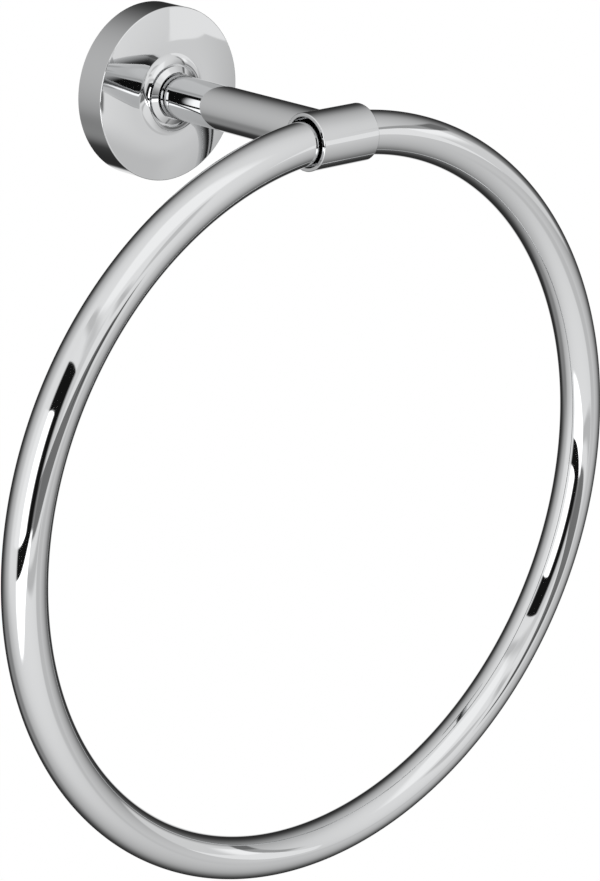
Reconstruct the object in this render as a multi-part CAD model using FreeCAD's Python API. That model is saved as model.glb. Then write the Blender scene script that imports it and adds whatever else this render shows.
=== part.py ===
"""Wall-mounted towel ring: escutcheon, straight post, and a sleeve in which a ring of round bar hangs.

Millimetres. The wall is the plane Y = 0 and the object stands out towards -Y, with +Z up and +X to the
right of someone facing the wall. The origin is the centre of the wall bracket's rear face.
"""
import FreeCAD, Part
import math
import os

from FreeCAD import Vector

# Ring: one round bar bent to a full circle, its ends butted over a dowel inside the sleeve
RING_OUTER_DIAMETER = 200.0
RING_BAR_DIAMETER = 11.0
RING_BUTT_GAP = 0.1

# Dowel: a straight pin in holes drilled in the two ends of the ring's bar
DOWEL_DIAMETER = 5.0
DOWEL_LENGTH = 24.0
DOWEL_END_GAP = 0.5
DOWEL_END_BREAK = 0.4

# Sleeve: the short horizontal tube that the ring passes through and hangs in
SLEEVE_LENGTH = 18.0
SLEEVE_WALL = 1.0
SLEEVE_EDGE_BREAK = 0.2
RING_PLAY = 0.4

# Post: a straight round bar from the escutcheon to the sleeve
PROJECTION = 70.4
POST_DIAMETER = 11.4
POST_SEAT_DEPTH = 3.0
POST_FOOT_BREAK = 0.3
SPIGOT_DIAMETER = 6.0
FIT_CLEARANCE = 0.05

# Escutcheon: a turned cup that hides the wall bracket. Its face is flat round the hub and falls away to
# the rim in a long arc. The hub flares up from the face to a fine groove, inside which a low collar with
# a sloping front stands round the foot of the post, just clear of it.
ESCUTCHEON_DIAMETER = 45.0
ESCUTCHEON_DEPTH = 9.0
ESCUTCHEON_RIM_WALL = 2.5
ESCUTCHEON_FACE_WALL = 2.2
ESCUTCHEON_EDGE_BREAK = 0.25
FACE_FLAT_DIAMETER = 25.0
FACE_ARC_RADIUS = 72.0
HUB_DIAMETER = 16.2
HUB_EDGE_HEIGHT = 1.3
HUB_HEIGHT = 2.3
HUB_FLARE_RADIUS = 3.3
HUB_GROOVE_WIDTH = 0.55
HUB_GROOVE_DEPTH = 1.0
POST_GAP_WIDTH = 0.3
POST_GAP_DEPTH = 1.0

# Wall bracket: a grooved disc that is screwed to the wall, under the escutcheon
BRACKET_RIM_GAP = 0.3
BRACKET_FACE_GAP = 0.8
BRACKET_EDGE_BREAK = 0.4
WALL_SCREW_SPACING = 23.0
WALL_SCREW_HOLE_DIAMETER = 4.5
WALL_SCREW_HEAD_DIAMETER = 8.0
HEAD_RECESS_GAP = 0.4
HEAD_RECESS_SIDE_GAP = 0.65

# Post screw: a low-head socket screw that holds the post from inside the escutcheon
POST_SCREW_DIAMETER = 5.0
POST_SCREW_LENGTH = 16.0
POST_SCREW_HEAD_DIAMETER = 8.5
POST_SCREW_HEAD_HEIGHT = 3.2
POST_SCREW_EDGE_BREAK = 0.4
POST_SCREW_KEY = 3.0
POST_SCREW_KEY_DEPTH = 1.8
POST_SCREW_HOLE_CLEARANCE = 0.25
TAPPED_HOLE_RUNOUT = 2.0
DRILL_POINT_ANGLE = 118.0

# Spring washer under the post screw's head, drawn flat
WASHER_OUTER_DIAMETER = 9.2
WASHER_THICKNESS = 1.2
WASHER_BORE_CLEARANCE = 0.1
WASHER_SLOT = 1.0

# Grub screw: a cone-point set screw under the escutcheon, which locks it to the bracket's groove
GRUB_DIAMETER = 4.0
GRUB_LENGTH = 4.0
GRUB_RECESS = 0.3
GRUB_SEAT_GAP = 0.1
GRUB_KEY = 2.0
GRUB_KEY_DEPTH = 1.6
GRUB_EDGE_BREAK = 0.3

# How far a cutting body runs past the face that it cuts, and how closely an edge has to match its place
CUT_OVERRUN = 1.0
MATCH = 1e-6

# Directions
RIGHT = Vector(1, 0, 0)
TO_WALL = Vector(0, 1, 0)
OUT = Vector(0, -1, 0)
UP = Vector(0, 0, 1)
DOWN = Vector(0, 0, -1)
WALL_CENTRE = Vector(0, 0, 0)

# Ring and sleeve: the bar arches through a straight bore, so its rise is shared above and below the axis
ring_bar_radius = RING_BAR_DIAMETER / 2
ring_bend_radius = RING_OUTER_DIAMETER / 2 - ring_bar_radius
half_sleeve = SLEEVE_LENGTH / 2
arch_rise = ring_bend_radius - math.sqrt(ring_bend_radius ** 2 - half_sleeve ** 2)
sleeve_bore_radius = ring_bar_radius + arch_rise / 2 + RING_PLAY
sleeve_radius = sleeve_bore_radius + SLEEVE_WALL
sleeve_centre = OUT * PROJECTION
sleeve_left = sleeve_centre - RIGHT * half_sleeve
sleeve_right = sleeve_centre + RIGHT * half_sleeve
ring_top = sleeve_centre + UP * (arch_rise / 2)
ring_centre = ring_top + DOWN * ring_bend_radius

# Radii about the post's axis
post_radius = POST_DIAMETER / 2
seat_radius = post_radius + FIT_CLEARANCE
hub_radius = HUB_DIAMETER / 2
hub_flare_turn = math.acos(1 - HUB_EDGE_HEIGHT / HUB_FLARE_RADIUS)
collar_radius = hub_radius - HUB_GROOVE_WIDTH
collar_bore_radius = seat_radius + POST_GAP_WIDTH
escutcheon_radius = ESCUTCHEON_DIAMETER / 2
face_flat_radius = FACE_FLAT_DIAMETER / 2
cavity_radius = escutcheon_radius - ESCUTCHEON_RIM_WALL
bracket_radius = cavity_radius - BRACKET_RIM_GAP
groove_bottom_radius = escutcheon_radius - GRUB_RECESS - GRUB_LENGTH - GRUB_SEAT_GAP
groove_depth = bracket_radius - groove_bottom_radius
head_recess_radius = max(POST_SCREW_HEAD_DIAMETER, WASHER_OUTER_DIAMETER) / 2 + HEAD_RECESS_SIDE_GAP


def face_fall(radius):
    """How far the escutcheon's face has fallen towards the wall at a radius beyond its flat."""
    run = radius - face_flat_radius
    return FACE_ARC_RADIUS - math.sqrt(FACE_ARC_RADIUS ** 2 - run ** 2)


# Distances from the wall along the post's axis
cavity_depth = ESCUTCHEON_DEPTH - ESCUTCHEON_FACE_WALL
face_front = ESCUTCHEON_DEPTH + face_fall(escutcheon_radius)
hub_edge_front = face_front + HUB_EDGE_HEIGHT
hub_front = face_front + HUB_HEIGHT
post_foot = hub_front - POST_SEAT_DEPTH
screw_head_front = cavity_depth - WASHER_THICKNESS
screw_head_back = screw_head_front - POST_SCREW_HEAD_HEIGHT
screw_tip = screw_head_front + POST_SCREW_LENGTH
bracket_front = cavity_depth - BRACKET_FACE_GAP
bracket_recess_floor = screw_head_back - HEAD_RECESS_GAP
groove_height = bracket_front / 2


def turned(corners, origin=WALL_CENTRE, axis=OUT):
    """Solid of revolution. Each corner of its half section is (radius, distance along the axis).

    A corner with two more numbers is reached by an arc through the place that they give.
    """
    radial = axis.cross(RIGHT) if abs(axis.dot(RIGHT)) < MATCH else UP

    def place(radius, distance):
        return origin + radial * radius + axis * distance

    edges = []
    for before, corner in zip(corners[-1:] + corners, corners):
        start = place(*before[:2])
        end = place(*corner[:2])
        if len(corner) == 4:
            edges.append(Part.Arc(start, place(*corner[2:]), end).toShape())
        else:
            edges.append(Part.LineSegment(start, end).toShape())
    return Part.Face(Part.Wire(edges)).revolve(origin, axis, 360)


def circles(solid, *rims, origin=WALL_CENTRE, axis=OUT):
    """Round edges of a turned solid. Each rim is (radius, distance along the axis)."""
    found = []
    for edge in solid.Edges:
        if not isinstance(edge.Curve, Part.Circle):
            continue
        distance = (edge.Curve.Center - origin).dot(axis)
        for rim_radius, rim_distance in rims:
            if abs(edge.Curve.Radius - rim_radius) < MATCH and abs(distance - rim_distance) < MATCH:
                found.append(edge)
    return found


def cylinder(radius, start, end):
    """Cylinder between two points."""
    run = end - start
    return Part.makeCylinder(radius, run.Length, start, run)


def hex_socket(across_flats, start, end):
    """Hexagonal prism between two points, for the socket of a screw."""
    run = end - start
    corner_radius = across_flats / math.sqrt(3)
    side = run.cross(RIGHT).normalize()
    turns = [math.radians(60 * step) for step in range(7)]
    loop = [start + (RIGHT * math.cos(turn) + side * math.sin(turn)) * corner_radius for turn in turns]
    return Part.Face(Part.makePolygon(loop)).extrude(run)


def dowel_body(clearance, end_gap):
    """The dowel's outline along the sleeve, grown by a clearance for the hole that takes it."""
    reach = RIGHT * (DOWEL_LENGTH / 2 + end_gap)
    return cylinder(DOWEL_DIAMETER / 2 + clearance, ring_top - reach, ring_top + reach)


def make_ring():
    """Bar bent to a circle. Its drilled, butted ends are at the top, under the sleeve."""
    gap_degrees = math.degrees(RING_BUTT_GAP / ring_bend_radius)
    section = Part.Face(Part.Wire(Part.Circle(ring_top, RIGHT, ring_bar_radius).toShape()))
    section.rotate(ring_centre, TO_WALL, gap_degrees / 2)
    bar = section.revolve(ring_centre, TO_WALL, 360 - gap_degrees)
    return bar.cut(dowel_body(FIT_CLEARANCE, DOWEL_END_GAP))


def make_ring_dowel():
    """Straight pin that aligns and holds the ring's two ends from inside."""
    pin = dowel_body(0, 0)
    end = DOWEL_LENGTH / 2
    radius = DOWEL_DIAMETER / 2
    ends = circles(pin, (radius, -end), (radius, end), origin=ring_top, axis=RIGHT)
    return pin.makeChamfer(DOWEL_END_BREAK, ends)


def make_sleeve():
    """Straight tube across the end of the post, with a hole in its back for the post's spigot."""
    tube = cylinder(sleeve_radius, sleeve_left, sleeve_right)
    tube = tube.cut(cylinder(sleeve_bore_radius, sleeve_left, sleeve_right))
    rims = [(radius, end) for radius in (sleeve_bore_radius, sleeve_radius) for end in (0, SLEEVE_LENGTH)]
    tube = tube.makeChamfer(SLEEVE_EDGE_BREAK, circles(tube, *rims, origin=sleeve_left, axis=RIGHT))
    hole_start = sleeve_centre - OUT * (sleeve_radius + CUT_OVERRUN)
    return tube.cut(cylinder(SPIGOT_DIAMETER / 2 + FIT_CLEARANCE, hole_start, sleeve_centre))


def make_post():
    """Bar with a tapped foot. Its front end is coped to the sleeve and has a spigot for its hole."""
    bar = cylinder(post_radius, OUT * post_foot, sleeve_centre)
    bar = bar.makeChamfer(POST_FOOT_BREAK, circles(bar, (post_radius, post_foot)))
    bar = bar.cut(cylinder(sleeve_radius, sleeve_left, sleeve_right))
    spigot_root = sleeve_centre - OUT * (sleeve_radius + post_radius)
    spigot = cylinder(SPIGOT_DIAMETER / 2, spigot_root, sleeve_centre)
    spigot = spigot.cut(cylinder(sleeve_bore_radius, sleeve_left, sleeve_right))
    thread_radius = POST_SCREW_DIAMETER / 2 + FIT_CLEARANCE
    hole_end = screw_tip + TAPPED_HOLE_RUNOUT
    drill_point = thread_radius / math.tan(math.radians(DRILL_POINT_ANGLE / 2))
    tapped_hole = turned([
        (0, post_foot - CUT_OVERRUN),
        (thread_radius, post_foot - CUT_OVERRUN),
        (thread_radius, hole_end),
        (0, hole_end + drill_point),
    ])
    return bar.fuse(spigot).removeSplitter().cut(tapped_hole)


def on_flare(turn):
    """Place on the hub's flare where it has turned up from the face by an angle."""
    flare_start = hub_radius + HUB_FLARE_RADIUS * math.sin(hub_flare_turn)
    radius = flare_start - HUB_FLARE_RADIUS * math.sin(turn)
    return radius, face_front + HUB_FLARE_RADIUS * (1 - math.cos(turn))


def make_escutcheon():
    """Cup with a crowned face and a flared hub. The post's foot is let into the hub."""
    screw_hole_radius = POST_SCREW_DIAMETER / 2 + POST_SCREW_HOLE_CLEARANCE
    arc_start = escutcheon_radius - ESCUTCHEON_EDGE_BREAK
    arc_middle = (face_flat_radius + arc_start) / 2
    cup = turned([
        (screw_hole_radius, cavity_depth),
        (cavity_radius, cavity_depth),
        (cavity_radius, 0),
        (escutcheon_radius, 0),
        (escutcheon_radius, ESCUTCHEON_DEPTH - ESCUTCHEON_EDGE_BREAK),
        (arc_start, face_front - face_fall(arc_start)),
        (face_flat_radius, face_front, arc_middle, face_front - face_fall(arc_middle)),
        on_flare(0),
        (hub_radius, hub_edge_front, *on_flare(hub_flare_turn / 2)),
        (hub_radius, hub_edge_front - HUB_GROOVE_DEPTH),
        (collar_radius, hub_edge_front - HUB_GROOVE_DEPTH),
        (collar_radius, hub_edge_front),
        (collar_bore_radius, hub_front),
        (collar_bore_radius, hub_front - POST_GAP_DEPTH),
        (seat_radius, hub_front - POST_GAP_DEPTH),
        (seat_radius, post_foot),
        (screw_hole_radius, post_foot),
    ])
    grub_axis = OUT * groove_height
    hole_start = grub_axis + DOWN * (cavity_radius - CUT_OVERRUN)
    hole_end = grub_axis + DOWN * (escutcheon_radius + CUT_OVERRUN)
    return cup.cut(cylinder(GRUB_DIAMETER / 2 + FIT_CLEARANCE, hole_start, hole_end))


def make_wall_bracket():
    """Disc with a V groove in its rim, two countersunk holes and a recess for the post screw's head."""
    disc = turned([
        (0, 0),
        (bracket_radius, 0),
        (bracket_radius, groove_height - groove_depth),
        (groove_bottom_radius, groove_height),
        (bracket_radius, groove_height + groove_depth),
        (bracket_radius, bracket_front),
        (head_recess_radius, bracket_front),
        (head_recess_radius, bracket_recess_floor),
        (0, bracket_recess_floor),
    ])
    disc = disc.makeChamfer(BRACKET_EDGE_BREAK, circles(disc, (bracket_radius, bracket_front)))
    hole_radius = WALL_SCREW_HOLE_DIAMETER / 2
    head_radius = WALL_SCREW_HEAD_DIAMETER / 2
    for side in (-1, 1):
        hole_centre = RIGHT * (side * WALL_SCREW_SPACING / 2)
        countersunk_hole = turned([
            (0, -CUT_OVERRUN),
            (hole_radius, -CUT_OVERRUN),
            (hole_radius, bracket_front - (head_radius - hole_radius)),
            (head_radius, bracket_front),
            (head_radius, bracket_front + CUT_OVERRUN),
            (0, bracket_front + CUT_OVERRUN),
        ], hole_centre)
        disc = disc.cut(countersunk_hole)
    return disc


def make_post_screw():
    """Socket screw that enters the post from inside the escutcheon."""
    shank_radius = POST_SCREW_DIAMETER / 2
    head_radius = POST_SCREW_HEAD_DIAMETER / 2
    screw = turned([
        (0, screw_head_back),
        (head_radius, screw_head_back),
        (head_radius, screw_head_front),
        (shank_radius, screw_head_front),
        (shank_radius, screw_tip),
        (0, screw_tip),
    ])
    ends = circles(screw, (head_radius, screw_head_back), (shank_radius, screw_tip))
    screw = screw.makeChamfer(POST_SCREW_EDGE_BREAK, ends)
    key_end = screw_head_back + POST_SCREW_KEY_DEPTH
    return screw.cut(hex_socket(POST_SCREW_KEY, OUT * screw_head_back, OUT * key_end))


def make_spring_washer():
    """Split ring between the screw's head and the escutcheon's inner face."""
    outer_radius = WASHER_OUTER_DIAMETER / 2
    washer = cylinder(outer_radius, OUT * screw_head_front, OUT * cavity_depth)
    bore_radius = POST_SCREW_DIAMETER / 2 + WASHER_BORE_CLEARANCE
    washer = washer.cut(cylinder(bore_radius, OUT * screw_head_front, OUT * cavity_depth))
    slot_corner = Vector(-WASHER_SLOT / 2, -cavity_depth, 0)
    slot = Part.makeBox(WASHER_SLOT, WASHER_THICKNESS, outer_radius + CUT_OVERRUN, slot_corner)
    return washer.cut(slot)


def make_grub_screw():
    """Set screw in the underside of the escutcheon, its cone seated in the bracket's groove."""
    radius = GRUB_DIAMETER / 2
    outer_end = OUT * groove_height + DOWN * (escutcheon_radius - GRUB_RECESS)
    screw = turned([
        (0, 0),
        (radius, 0),
        (radius, GRUB_LENGTH - radius),
        (0, GRUB_LENGTH),
    ], outer_end, UP)
    screw = screw.makeChamfer(GRUB_EDGE_BREAK, circles(screw, (radius, 0), origin=outer_end, axis=UP))
    return screw.cut(hex_socket(GRUB_KEY, outer_end, outer_end + UP * GRUB_KEY_DEPTH))


PARTS = {
    "wall_bracket": make_wall_bracket,
    "escutcheon": make_escutcheon,
    "grub_screw": make_grub_screw,
    "post": make_post,
    "post_screw": make_post_screw,
    "spring_washer": make_spring_washer,
    "sleeve": make_sleeve,
    "ring": make_ring,
    "ring_dowel": make_ring_dowel,
}

os.makedirs("parts", exist_ok=True)
for name, make in PARTS.items():
    solid = make()
    solid.exportStep(f"parts/{name}.step")
    box = solid.optimalBoundingBox(False)
    corners = [box.XMin, box.XMax, box.YMin, box.YMax, box.ZMin, box.ZMax]
    print(name, len(solid.Solids), solid.isValid(), round(solid.Volume, 1), [round(c, 2) for c in corners])
print(f"sleeve bore radius {sleeve_bore_radius:.4f}, ring centre z {ring_centre.z:.4f}")
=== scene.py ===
"""Looks of a wall-hung towel ring in polished chrome, in a plain pale studio. Metres."""
import math

import bpy
import bmesh
from mathutils import Matrix, Vector


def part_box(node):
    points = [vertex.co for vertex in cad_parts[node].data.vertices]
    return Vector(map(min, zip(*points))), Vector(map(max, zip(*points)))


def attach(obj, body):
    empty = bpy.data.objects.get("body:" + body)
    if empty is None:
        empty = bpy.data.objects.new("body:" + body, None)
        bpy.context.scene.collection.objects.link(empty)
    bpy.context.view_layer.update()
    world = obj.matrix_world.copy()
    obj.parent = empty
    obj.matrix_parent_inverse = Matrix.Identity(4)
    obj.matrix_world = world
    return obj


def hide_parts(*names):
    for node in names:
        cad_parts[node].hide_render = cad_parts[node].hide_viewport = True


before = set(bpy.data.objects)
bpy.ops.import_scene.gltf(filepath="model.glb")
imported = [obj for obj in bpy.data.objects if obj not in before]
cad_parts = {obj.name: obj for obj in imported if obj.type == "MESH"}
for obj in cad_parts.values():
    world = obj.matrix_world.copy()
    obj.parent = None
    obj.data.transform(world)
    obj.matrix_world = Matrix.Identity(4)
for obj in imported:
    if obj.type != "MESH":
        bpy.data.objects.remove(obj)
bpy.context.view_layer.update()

MM = 0.001

# Camera, at the photograph's viewing angle
IMAGE_LONG_SIDE = 881
SENSOR_WIDTH = 36.0
FOCAL_LENGTH_PIXELS = 2807.948
CAMERA_PLACE = Vector((-452.43, -554.38, 155.66)) * MM
CAMERA_FORWARD = Vector((0.63711, 0.69555, -0.33212))
CAMERA_UP = Vector((0.21343, 0.25485, 0.94313))
CLIP_START = 0.01
CLIP_END = 200

# Sizes that the frame doesn't give as a box
RING_BUTT_GAP = 0.1 * MM
DOWEL_CLEARANCE = 0.05 * MM
DOWEL_END_GAP = 0.5 * MM
SLEEVE_WALL = 1.0 * MM
SLEEVE_EDGE_ROUND = 0.25 * MM
POST_SEAT_DEPTH = 3.0 * MM
POST_SPIGOT_RADIUS = 3.0 * MM
POST_FOOT_ROUND = 0.3 * MM
FIT_CLEARANCE = 0.05 * MM
TAPPED_HOLE_RADIUS = 2.55 * MM
TAPPED_HOLE_RUNOUT = 2.0 * MM
DRILL_POINT = 1.53 * MM
RIM_WALL = 2.5 * MM
FACE_WALL = 2.2 * MM
FACE_FLAT_RADIUS = 12.5 * MM
FACE_ARC_RADIUS = 72.0 * MM
HUB_RADIUS = 8.1 * MM
HUB_EDGE_HEIGHT = 1.3 * MM
HUB_HEIGHT = 2.3 * MM
HUB_FLARE_RADIUS = 3.3 * MM
HUB_GROOVE_WIDTH = 0.55 * MM
HUB_GROOVE_DEPTH = 1.0 * MM
POST_GAP_WIDTH = 0.3 * MM
POST_GAP_DEPTH = 1.0 * MM
HUB_EDGE_ROUND = 0.06 * MM
RIM_EDGE_ROUND = 0.3 * MM
INNER_EDGE_ROUND = 0.3 * MM
SCREW_HOLE_RADIUS = 2.75 * MM

# How finely round surfaces are divided
RING_STEPS = 720
BAR_STEPS = 96
TURNED_STEPS = 256
HOLE_STEPS = 96
ROUND_STEPS = 8
FACE_ARC_STEPS = 32
FLARE_STEPS = 24
SPIGOT_END_STEPS = 4

# An edge that bends further than this is sharp, and a surface holds its slope over the second length
# before it bends
SHARP_ANGLE = math.radians(30)
HOLD = 0.03 * MM

# Fine ripple of a metal surface
RIPPLE_DETAIL = 4
RIPPLE_HEIGHT = 0.01 * MM

# Floor
FLOOR_HEIGHT = -2.0
FLOOR_SIZE = 60

# Directions
RIGHT = Vector((1, 0, 0))
TO_WALL = Vector((0, 1, 0))
OUT = Vector((0, -1, 0))
UP = Vector((0, 0, 1))

# Sizes read from the frame
ring_low, ring_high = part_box("ring")
ring_bar_radius = (ring_high.y - ring_low.y) / 2
ring_bend_radius = (ring_high.z - ring_low.z) / 2 - ring_bar_radius
ring_centre = (ring_low + ring_high) / 2
sleeve_low, sleeve_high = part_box("sleeve")
sleeve_length = sleeve_high.x - sleeve_low.x
sleeve_radius = (sleeve_high.z - sleeve_low.z) / 2
sleeve_bore_radius = sleeve_radius - SLEEVE_WALL
sleeve_centre = (sleeve_low + sleeve_high) / 2
projection = -sleeve_centre.y
post_low, post_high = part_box("post")
post_radius = (post_high.z - post_low.z) / 2
post_foot = -post_high.y
escutcheon_low, escutcheon_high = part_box("escutcheon")
escutcheon_radius = (escutcheon_high.z - escutcheon_low.z) / 2
hub_front = -escutcheon_low.y
face_front = hub_front - HUB_HEIGHT
dowel_low, dowel_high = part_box("ring_dowel")
dowel_radius = (dowel_high.z - dowel_low.z) / 2
dowel_length = dowel_high.x - dowel_low.x
grub_low, grub_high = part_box("grub_screw")
screw_tip = -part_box("post_screw")[0].y


def mark_sharp(bm):
    """Makes every edge smooth, apart from open and sharp ones."""
    for edge in bm.edges:
        edge.smooth = len(edge.link_faces) == 2 and edge.calc_face_angle() < SHARP_ANGLE


def mesh_object(name, bm):
    """Object from a bmesh, smooth except at its sharp edges."""
    bmesh.ops.recalc_face_normals(bm, faces=bm.faces)
    mark_sharp(bm)
    for face in bm.faces:
        face.smooth = True
    mesh = bpy.data.meshes.new(name)
    bm.to_mesh(mesh)
    bm.free()
    obj = bpy.data.objects.new(name, mesh)
    bpy.context.scene.collection.objects.link(obj)
    return obj


def circle(bm, centre, first, second, radius, steps):
    """Loop of new vertices round a centre, which starts at the first direction and turns to the second."""
    loop = []
    for step in range(steps):
        angle = 2 * math.pi * step / steps
        spoke = first * math.cos(angle) + second * math.sin(angle)
        loop.append(bm.verts.new(centre + spoke * radius))
    return loop


def skin(bm, loops):
    """Faces between each loop of vertices and the next. A loop may be a single vertex."""
    for first, second in zip(loops, loops[1:]):
        count = max(len(first), len(second))
        if count == 1:
            continue
        for step in range(count):
            following = (step + 1) % count
            corners = [first[step % len(first)], first[following % len(first)]]
            corners += [second[following % len(second)], second[step % len(second)]]
            bm.faces.new(dict.fromkeys(corners))


def rounded(corners):
    """Outline through corners (radius, distance, rounding), with an arc at each that has a rounding.

    A point just before and just after each arc keeps the surfaces beside it straight in reflections.
    """
    points = []
    count = len(corners)
    for index, (radius, distance, rounding) in enumerate(corners):
        corner = Vector((radius, distance))
        if rounding == 0:
            points.append(corner)
            continue
        before = (Vector(corners[index - 1][:2]) - corner).normalized()
        after = (Vector(corners[(index + 1) % count][:2]) - corner).normalized()
        half = before.angle(after) / 2
        start = corner + before * (rounding / math.tan(half))
        centre = corner + (before + after).normalized() * (rounding / math.sin(half))
        spoke = start - centre
        end = corner + after * (rounding / math.tan(half))
        sweep = spoke.angle_signed(end - centre)
        points.append(start + before * HOLD)
        for step in range(ROUND_STEPS + 1):
            turn = Matrix.Rotation(-sweep * step / ROUND_STEPS, 2)
            points.append(centre + turn @ spoke)
        points.append(end + after * HOLD)
    return points


def turned(outline, origin=Vector(), axis=OUT, steps=TURNED_STEPS):
    """Bmesh of revolution from a closed outline of (radius, distance along the axis) points.

    Points on the axis become one vertex.
    """
    bm = bmesh.new()
    side = axis.orthogonal().normalized()
    other = axis.cross(side)
    loops = []
    for radius, distance in outline:
        centre = origin + axis * distance
        if radius == 0:
            loops.append([bm.verts.new(centre)])
        else:
            loops.append(circle(bm, centre, side, other, radius, steps))
    skin(bm, loops + loops[:1])
    return bm


def drill(obj, origin, axis, radius, start, end):
    """Takes a round hole out of the object, between two distances from the origin along the axis."""
    outline = [(0, start), (radius, start), (radius, end), (0, end)]
    tool = mesh_object("drill", turned(outline, origin, axis, HOLE_STEPS))
    modifier = obj.modifiers.new("hole", "BOOLEAN")
    modifier.object = tool
    modifier.operation = "DIFFERENCE"
    modifier.solver = "EXACT"
    bpy.context.view_layer.update()
    evaluated = obj.evaluated_get(bpy.context.evaluated_depsgraph_get())
    mesh = bpy.data.meshes.new_from_object(evaluated)
    obj.modifiers.clear()
    bm = bmesh.new()
    bm.from_mesh(mesh)
    mark_sharp(bm)
    bm.to_mesh(obj.data)
    bm.free()
    bpy.data.meshes.remove(mesh)
    bpy.data.objects.remove(tool)


def make_ring():
    """Round bar bent to a circle, with its drilled ends butted at the top."""
    bm = bmesh.new()
    gap_angle = RING_BUTT_GAP / ring_bend_radius
    top = ring_centre + UP * ring_bend_radius

    def loop_on_bar(angle):
        radial = UP * math.cos(angle) + RIGHT * math.sin(angle)
        centre = ring_centre + radial * ring_bend_radius
        return circle(bm, centre, radial, OUT, ring_bar_radius, BAR_STEPS)

    def loop_in_hole(distance):
        radius = dowel_radius + DOWEL_CLEARANCE
        return circle(bm, top + RIGHT * distance, UP, OUT, radius, BAR_STEPS)

    hole_end = dowel_length / 2 + DOWEL_END_GAP
    first = gap_angle / 2
    sweep = 2 * math.pi - gap_angle
    loops = [[bm.verts.new(top + RIGHT * hole_end)]]
    loops += [loop_in_hole(hole_end), loop_in_hole(RING_BUTT_GAP / 2)]
    for step in range(RING_STEPS + 1):
        loops.append(loop_on_bar(first + sweep * step / RING_STEPS))
    loops += [loop_in_hole(-RING_BUTT_GAP / 2), loop_in_hole(-hole_end)]
    loops.append([bm.verts.new(top - RIGHT * hole_end)])
    skin(bm, loops)
    return mesh_object("ring_bar", bm)


def make_sleeve():
    """Short tube with softly rounded ends, holed at the back for the post's spigot."""
    wall = [
        (sleeve_bore_radius, 0, SLEEVE_EDGE_ROUND),
        (sleeve_bore_radius, sleeve_length, SLEEVE_EDGE_ROUND),
        (sleeve_radius, sleeve_length, SLEEVE_EDGE_ROUND),
        (sleeve_radius, 0, SLEEVE_EDGE_ROUND),
    ]
    left = sleeve_centre - RIGHT * sleeve_length / 2
    sleeve = mesh_object("sleeve_tube", turned(rounded(wall), left, RIGHT))
    drill(sleeve, sleeve_centre, TO_WALL, POST_SPIGOT_RADIUS + FIT_CLEARANCE, 0, sleeve_radius * 2)
    return sleeve


def make_post():
    """Bar with a tapped foot, coped to the sleeve, with a spigot through the sleeve's wall."""
    bm = bmesh.new()
    hole_end = screw_tip + TAPPED_HOLE_RUNOUT

    def loop(radius, place):
        if radius == 0:
            return [bm.verts.new(OUT * place(0))]
        verts = []
        for step in range(TURNED_STEPS):
            angle = 2 * math.pi * step / TURNED_STEPS
            height = radius * math.sin(angle)
            verts.append(bm.verts.new(Vector((radius * math.cos(angle), -place(height), height))))
        return verts

    def flat(distance):
        return lambda height: distance

    def coped(radius):
        return lambda height: projection - math.sqrt(radius ** 2 - height ** 2)

    foot = [
        (0, hole_end + DRILL_POINT, 0),
        (TAPPED_HOLE_RADIUS, hole_end, 0),
        (TAPPED_HOLE_RADIUS, post_foot, 0),
        (post_radius, post_foot, POST_FOOT_ROUND),
        (post_radius, post_foot + POST_SEAT_DEPTH, 0),
    ]
    loops = [loop(radius, flat(distance)) for radius, distance in rounded(foot)]
    loops.append(loop(post_radius, coped(sleeve_radius)))
    loops.append(loop(POST_SPIGOT_RADIUS, coped(sleeve_radius)))
    for step in range(SPIGOT_END_STEPS + 1):
        share = 1 - step / SPIGOT_END_STEPS
        loops.append(loop(POST_SPIGOT_RADIUS * share, coped(sleeve_bore_radius)))
    skin(bm, loops)
    return mesh_object("post_bar", bm)


def face_distance(radius):
    """How far the escutcheon's crowned face stands out from the wall at a radius."""
    run = max(radius - FACE_FLAT_RADIUS, 0)
    return face_front - FACE_ARC_RADIUS + math.sqrt(FACE_ARC_RADIUS ** 2 - run ** 2)


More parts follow.
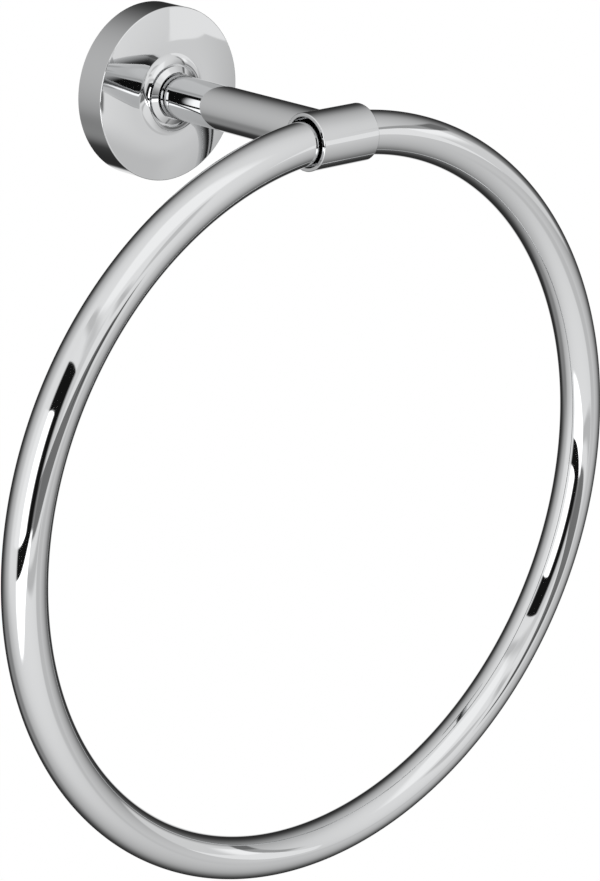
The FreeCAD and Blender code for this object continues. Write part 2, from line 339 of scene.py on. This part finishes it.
def make_escutcheon():
    """Turned cup with a crowned face and a flared hub, and with a screw hole in its underside."""
    rim_front = face_distance(escutcheon_radius)
    cavity_depth = rim_front - FACE_WALL
    cavity_radius = escutcheon_radius - RIM_WALL
    seat_radius = post_radius + FIT_CLEARANCE
    section = [
        (SCREW_HOLE_RADIUS, cavity_depth, 0),
        (cavity_radius, cavity_depth, INNER_EDGE_ROUND),
        (cavity_radius, 0, 0),
        (escutcheon_radius, 0, 0),
        (escutcheon_radius, rim_front, RIM_EDGE_ROUND),
    ]
    for step in range(1, FACE_ARC_STEPS + 1):
        radius = escutcheon_radius + (FACE_FLAT_RADIUS - escutcheon_radius) * step / FACE_ARC_STEPS
        section.append((radius, face_distance(radius), 0))
    flare_turn = math.acos(1 - HUB_EDGE_HEIGHT / HUB_FLARE_RADIUS)
    flare_start = HUB_RADIUS + HUB_FLARE_RADIUS * math.sin(flare_turn)
    section.append((FACE_FLAT_RADIUS - HOLD, face_front, 0))
    section.append((flare_start + HOLD, face_front, 0))
    for step in range(FLARE_STEPS):
        turn = flare_turn * step / FLARE_STEPS
        radius = flare_start - HUB_FLARE_RADIUS * math.sin(turn)
        section.append((radius, face_front + HUB_FLARE_RADIUS * (1 - math.cos(turn)), 0))
    hub_edge = face_front + HUB_EDGE_HEIGHT
    collar_radius = HUB_RADIUS - HUB_GROOVE_WIDTH
    collar_bore = seat_radius + POST_GAP_WIDTH
    section += [
        (HUB_RADIUS, hub_edge, HUB_EDGE_ROUND),
        (HUB_RADIUS, hub_edge - HUB_GROOVE_DEPTH, 0),
        (collar_radius, hub_edge - HUB_GROOVE_DEPTH, 0),
        (collar_radius, hub_edge, HUB_EDGE_ROUND),
        (collar_bore, hub_front, HUB_EDGE_ROUND),
        (collar_bore, hub_front - POST_GAP_DEPTH, 0),
        (seat_radius, hub_front - POST_GAP_DEPTH, 0),
        (seat_radius, post_foot, 0),
        (SCREW_HOLE_RADIUS, post_foot, 0),
    ]
    escutcheon = mesh_object("escutcheon_cup", turned(rounded(section)))
    grub_axis = OUT * (-(grub_low.y + grub_high.y) / 2)
    grub_radius = (grub_high.x - grub_low.x) / 2 + FIT_CLEARANCE
    start = cavity_radius - RIM_WALL
    end = escutcheon_radius + RIM_WALL
    drill(escutcheon, grub_axis, -UP, grub_radius, start, end)
    return escutcheon


def new_material(name):
    """Node material, returned with its principled surface."""
    material = bpy.data.materials.new(name)
    material.use_nodes = True
    return material, material.node_tree.nodes["Principled BSDF"]


def metal(name, color, roughness, spread, scale, bump, metallic=1):
    """Metal whose roughness varies softly, with a very fine ripple where it has a bump."""
    material, surface = new_material(name)
    nodes = material.node_tree.nodes
    links = material.node_tree.links
    surface.inputs["Base Color"].default_value = (*color, 1)
    surface.inputs["Metallic"].default_value = metallic
    place = nodes.new("ShaderNodeTexCoord")
    noise = nodes.new("ShaderNodeTexNoise")
    noise.inputs["Scale"].default_value = scale
    noise.inputs["Detail"].default_value = RIPPLE_DETAIL
    links.new(place.outputs["Object"], noise.inputs["Vector"])
    ranged = nodes.new("ShaderNodeMapRange")
    ranged.inputs["To Min"].default_value = max(roughness - spread, 0)
    ranged.inputs["To Max"].default_value = roughness + spread
    links.new(noise.outputs["Fac"], ranged.inputs["Value"])
    links.new(ranged.outputs["Result"], surface.inputs["Roughness"])
    relief = nodes.new("ShaderNodeBump")
    relief.inputs["Strength"].default_value = bump
    relief.inputs["Distance"].default_value = RIPPLE_HEIGHT
    links.new(noise.outputs["Fac"], relief.inputs["Height"])
    links.new(relief.outputs["Normal"], surface.inputs["Normal"])
    return material


chrome = metal("polished_chrome", (0.56, 0.565, 0.57), roughness=0.03, spread=0.015, scale=60, bump=0)
zinc = metal(
    "bright_zinc", (0.6, 0.61, 0.62), roughness=0.45, spread=0.1, scale=900, bump=0.3, metallic=0.7
)
steel = metal("screw_steel_finish", (0.5, 0.5, 0.51), roughness=0.28, spread=0.08, scale=1200, bump=0.3)
brass = metal("turned_brass", (0.74, 0.56, 0.28), roughness=0.3, spread=0.08, scale=1200, bump=0.3)

PIECES = [
    (make_ring, "ring", "ring", chrome, "chrome"),
    (make_sleeve, "holder", "sleeve", chrome, "chrome"),
    (make_post, "holder", "post", chrome, "chrome"),
    (make_escutcheon, "holder", "escutcheon", chrome, "chrome"),
]
for make, body, node, material, slot in PIECES:
    piece = make()
    piece.data.materials.append(material)
    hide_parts(node)
    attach(piece, body)

CAD_FINISHES = {
    "wall_bracket": zinc,
    "grub_screw": steel,
    "post_screw": steel,
    "spring_washer": steel,
    "ring_dowel": brass,
}
for node, material in CAD_FINISHES.items():
    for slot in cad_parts[node].material_slots:
        slot.material = material


# Studio. The metal reflects it, and to the camera and to matt surfaces the background is plain white.
# Directions round the object are (azimuth, elevation) in degrees: azimuth 0 is towards the wall, 90 to
# the right and 180 straight out. Brightness is on the scale of colours, where 1 is white.

# The darkest direction, and the brightness at each angle from it
DARK_SIDE = (36, -19)
SWEEP = [
    (30, 0.04), (42, 0.08), (52, 0.19), (62, 0.38), (75, 0.66), (90, 0.88), (110, 1.14), (135, 1.24),
    (180, 1.27),
]

# Panels, each laid over those before it: name, brightness, softness of the edges in degrees, and corners
# clockwise as seen from the object. A corner with a third number gives the softness of the edge that
# starts there.
PANELS = [
    ("backdrop", 0.9, 8, [(28, -31), (28, -7), (56, -7), (56, -31)]),
    ("sky", 1.48, 8, [(150, 30), (170, 75), (230, 75), (235, 45), (205, 35)]),
    ("glow", 1.24, 20, [(262, -20), (262, 50), (298, 50), (298, -20)]),
    ("arch_left", 0.92, 7, [(188, 17), (205, 32), (228, 46), (228, 38), (206, 22)]),
    ("arch_right", 0.85, 4, [(226, 37), (226, 45), (246, 50), (272, 54), (272, 47), (246, 43)]),
    ("wedge", 0.88, 4, [(160, 10), (161, 27), (168, 27), (172, 20), (172, 12)]),
    ("streak", 0.82, 4, [(170, 10), (172, 13), (186, 26), (190, 26), (178, 12)]),
    ("pillar", 1, 6, [(190, 0), (190, 22), (207, 24), (207, 0)]),
    ("low_face", 0.84, 6, [(139, -30), (139, -17), (160, -17), (160, -30)]),
    ("low_wall", 0.36, 15, [(312, -60), (312, -24), (346, -24), (346, -60)]),
    ("low_band", 0.8, 2, [(162, -20), (162, -16.5), (205, -16.5), (205, -20)]),
    ("dark_band", 0.27, 1.2, [
        (153.5, -14.6), (156.2, -11), (156.2, -2), (159, 1), (205, -1.5), (215, -3), (215, -11),
        (195, -13.5),
    ]),
    ("dim_band", 0.42, 6, [(199, -13), (199, -2), (215, -3), (215, -12)]),
    ("dark_core", 0.12, 3, [(156, -9), (157, -3), (159, 0), (164, -1), (168, -8)]),
    ("bright_band", 3.2, 1, [
        (193, -12.3), (204, -10.5, 14), (256, -9.5, 14), (256, -38, 5), (240, -34, 5), (215, -25.5, 4),
    ]),
    ("frame", 0.012, 0.7, [
        (206, -10, 10), (205, 19), (214, 24.2), (228, 30.8), (244, 35.2), (261, 37.6, 9), (259, -19),
        (250, -18.5), (230, -15.6), (214, -11.8),
    ]),
    ("softbox_wing", 1.42, 0.7, [
        (230, -7.6, 9), (229.5, 19), (240, 22.1), (264, 25), (280, 25.2, 14), (280, -8.6), (240, -8.5),
    ]),
    ("softbox", 3, 0.7, [
        (230, -7.6, 9), (229.5, 19), (240, 22.1), (254, 24.1, 10), (254, -8.7), (240, -8.5),
    ]),
    ("arc", 0.54, 1.6, [(100, 20), (104, 26), (120, 22.8), (134, 16, 6), (134, 10)]),
    ("arc_left", 0.24, 1.2, [(84, 22, 8), (86, 26), (96, 27.2), (110, 25.6, 8), (110, 20)]),
    ("window_left", 1.04, 1.2, [
        (97, -5, 12), (97, 22), (108, 20.8), (120, 17.5), (128, 14.2), (128, -5.3, 3),
    ]),
    ("window_top", 1.5, 1.2, [(108, 14, 6), (108, 20.8), (120, 17.5), (129, 13.6), (129, 6, 6)]),
    ("window", 1.3, 0.4, [
        (126, -5.9), (126, 15.2), (132, 11.8), (138, 5.3), (138, 1), (134.6, -5.9),
    ]),
    ("window_right", 1.3, 0.4, [
        (130.6, -3.3), (130.6, 12.4), (138, 5.3), (141.1, 1.3), (141.3, -2), (141, -7.6), (140.6, -9.8),
    ]),
]


def direction(azimuth, elevation):
    """Unit vector of a direction given in degrees."""
    a = math.radians(azimuth)
    e = math.radians(elevation)
    return Vector((math.sin(a) * math.cos(e), math.cos(a) * math.cos(e), math.sin(e)))


def make_world():
    """World that is white to the camera and shows the studio's panels in reflections."""
    world = bpy.data.worlds.new("studio")
    bpy.context.scene.world = world
    world.use_nodes = True
    nodes = world.node_tree.nodes
    links = world.node_tree.links
    nodes.clear()
    look = nodes.new("ShaderNodeTexCoord").outputs["Generated"]

    def along(axis):
        dot = nodes.new("ShaderNodeVectorMath")
        dot.operation = "DOT_PRODUCT"
        dot.inputs[1].default_value = axis
        links.new(look, dot.inputs[0])
        return dot.outputs["Value"]

    def ramp(value, low, high, shape):
        ranged = nodes.new("ShaderNodeMapRange")
        ranged.interpolation_type = shape
        ranged.inputs["From Min"].default_value = low
        ranged.inputs["From Max"].default_value = high
        links.new(value, ranged.inputs["Value"])
        return ranged.outputs["Result"]

    def product(one, two):
        times = nodes.new("ShaderNodeMath")
        times.operation = "MULTIPLY"
        links.new(one, times.inputs[0])
        links.new(two, times.inputs[1])
        return times.outputs["Value"]

    def laid_over(below, name, brightness, mask):
        mix = nodes.new("ShaderNodeMix")
        mix.label = name
        links.new(mask, mix.inputs["Factor"])
        links.new(below, mix.inputs["A"])
        mix.inputs["B"].default_value = brightness
        return mix.outputs["Result"]

    sweep = nodes.new("ShaderNodeFloatCurve")
    points = sweep.mapping.curves[0].points
    stops = sorted((math.cos(math.radians(angle)), brightness) for angle, brightness in SWEEP)
    points[0].location = (0, stops[0][1])
    points[1].location = (1, stops[-1][1])
    for cosine, brightness in stops[1:]:
        points.new((cosine + 1) / 2, brightness)
    sweep.mapping.update()
    links.new(ramp(along(direction(*DARK_SIDE)), -1, 1, "LINEAR"), sweep.inputs["Value"])
    studio = sweep.outputs["Value"]
    for name, brightness, softness, corners in PANELS:
        mask = None
        spokes = [direction(*corner[:2]) for corner in corners]
        for corner, spoke, following in zip(corners, spokes, spokes[1:] + spokes[:1]):
            inward = spoke.cross(following).normalized()
            half_edge = math.radians(corner[2] if len(corner) == 3 else softness) / 2
            side = ramp(along(inward), -half_edge, half_edge, "SMOOTHSTEP")
            mask = side if mask is None else product(mask, side)
        studio = laid_over(studio, name, brightness, mask)
    shown = nodes.new("ShaderNodeBackground")
    plain = nodes.new("ShaderNodeBackground")
    links.new(studio, shown.inputs["Color"])
    plain.inputs["Color"].default_value = (1, 1, 1, 1)
    choice = nodes.new("ShaderNodeMixShader")
    links.new(nodes.new("ShaderNodeLightPath").outputs["Is Glossy Ray"], choice.inputs["Fac"])
    links.new(plain.outputs["Background"], choice.inputs[1])
    links.new(shown.outputs["Background"], choice.inputs[2])
    output = nodes.new("ShaderNodeOutputWorld")
    links.new(choice.outputs["Shader"], output.inputs["Surface"])
    world.cycles.sampling_method = "NONE"


def make_floor():
    """Matt white floor, far below, which the metal doesn't reflect."""
    bm = bmesh.new()
    bmesh.ops.create_grid(bm, x_segments=1, y_segments=1, size=FLOOR_SIZE / 2)
    bmesh.ops.translate(bm, verts=bm.verts, vec=Vector((0, 0, FLOOR_HEIGHT)))
    floor = mesh_object("floor", bm)
    material, surface = new_material("pale_floor")
    surface.inputs["Base Color"].default_value = (1, 1, 1, 1)
    surface.inputs["Roughness"].default_value = 1
    surface.inputs["Specular IOR Level"].default_value = 0
    floor.data.materials.append(material)
    floor.visible_glossy = False


def make_camera():
    """Camera at the photograph's place, with its focal length."""
    data = bpy.data.cameras.new("camera")
    data.sensor_fit = "AUTO"
    data.sensor_width = SENSOR_WIDTH
    data.lens = FOCAL_LENGTH_PIXELS * SENSOR_WIDTH / IMAGE_LONG_SIDE
    data.clip_start = CLIP_START
    data.clip_end = CLIP_END
    camera = bpy.data.objects.new("camera", data)
    bpy.context.scene.collection.objects.link(camera)
    back = -CAMERA_FORWARD.normalized()
    right = CAMERA_UP.cross(back).normalized()
    turn = Matrix((right, back.cross(right), back)).transposed()
    camera.matrix_world = Matrix.Translation(CAMERA_PLACE) @ turn.to_4x4()
    return camera


make_world()
make_floor()
bpy.context.scene.camera = make_camera()
bpy.context.scene.view_settings.view_transform = "Standard"
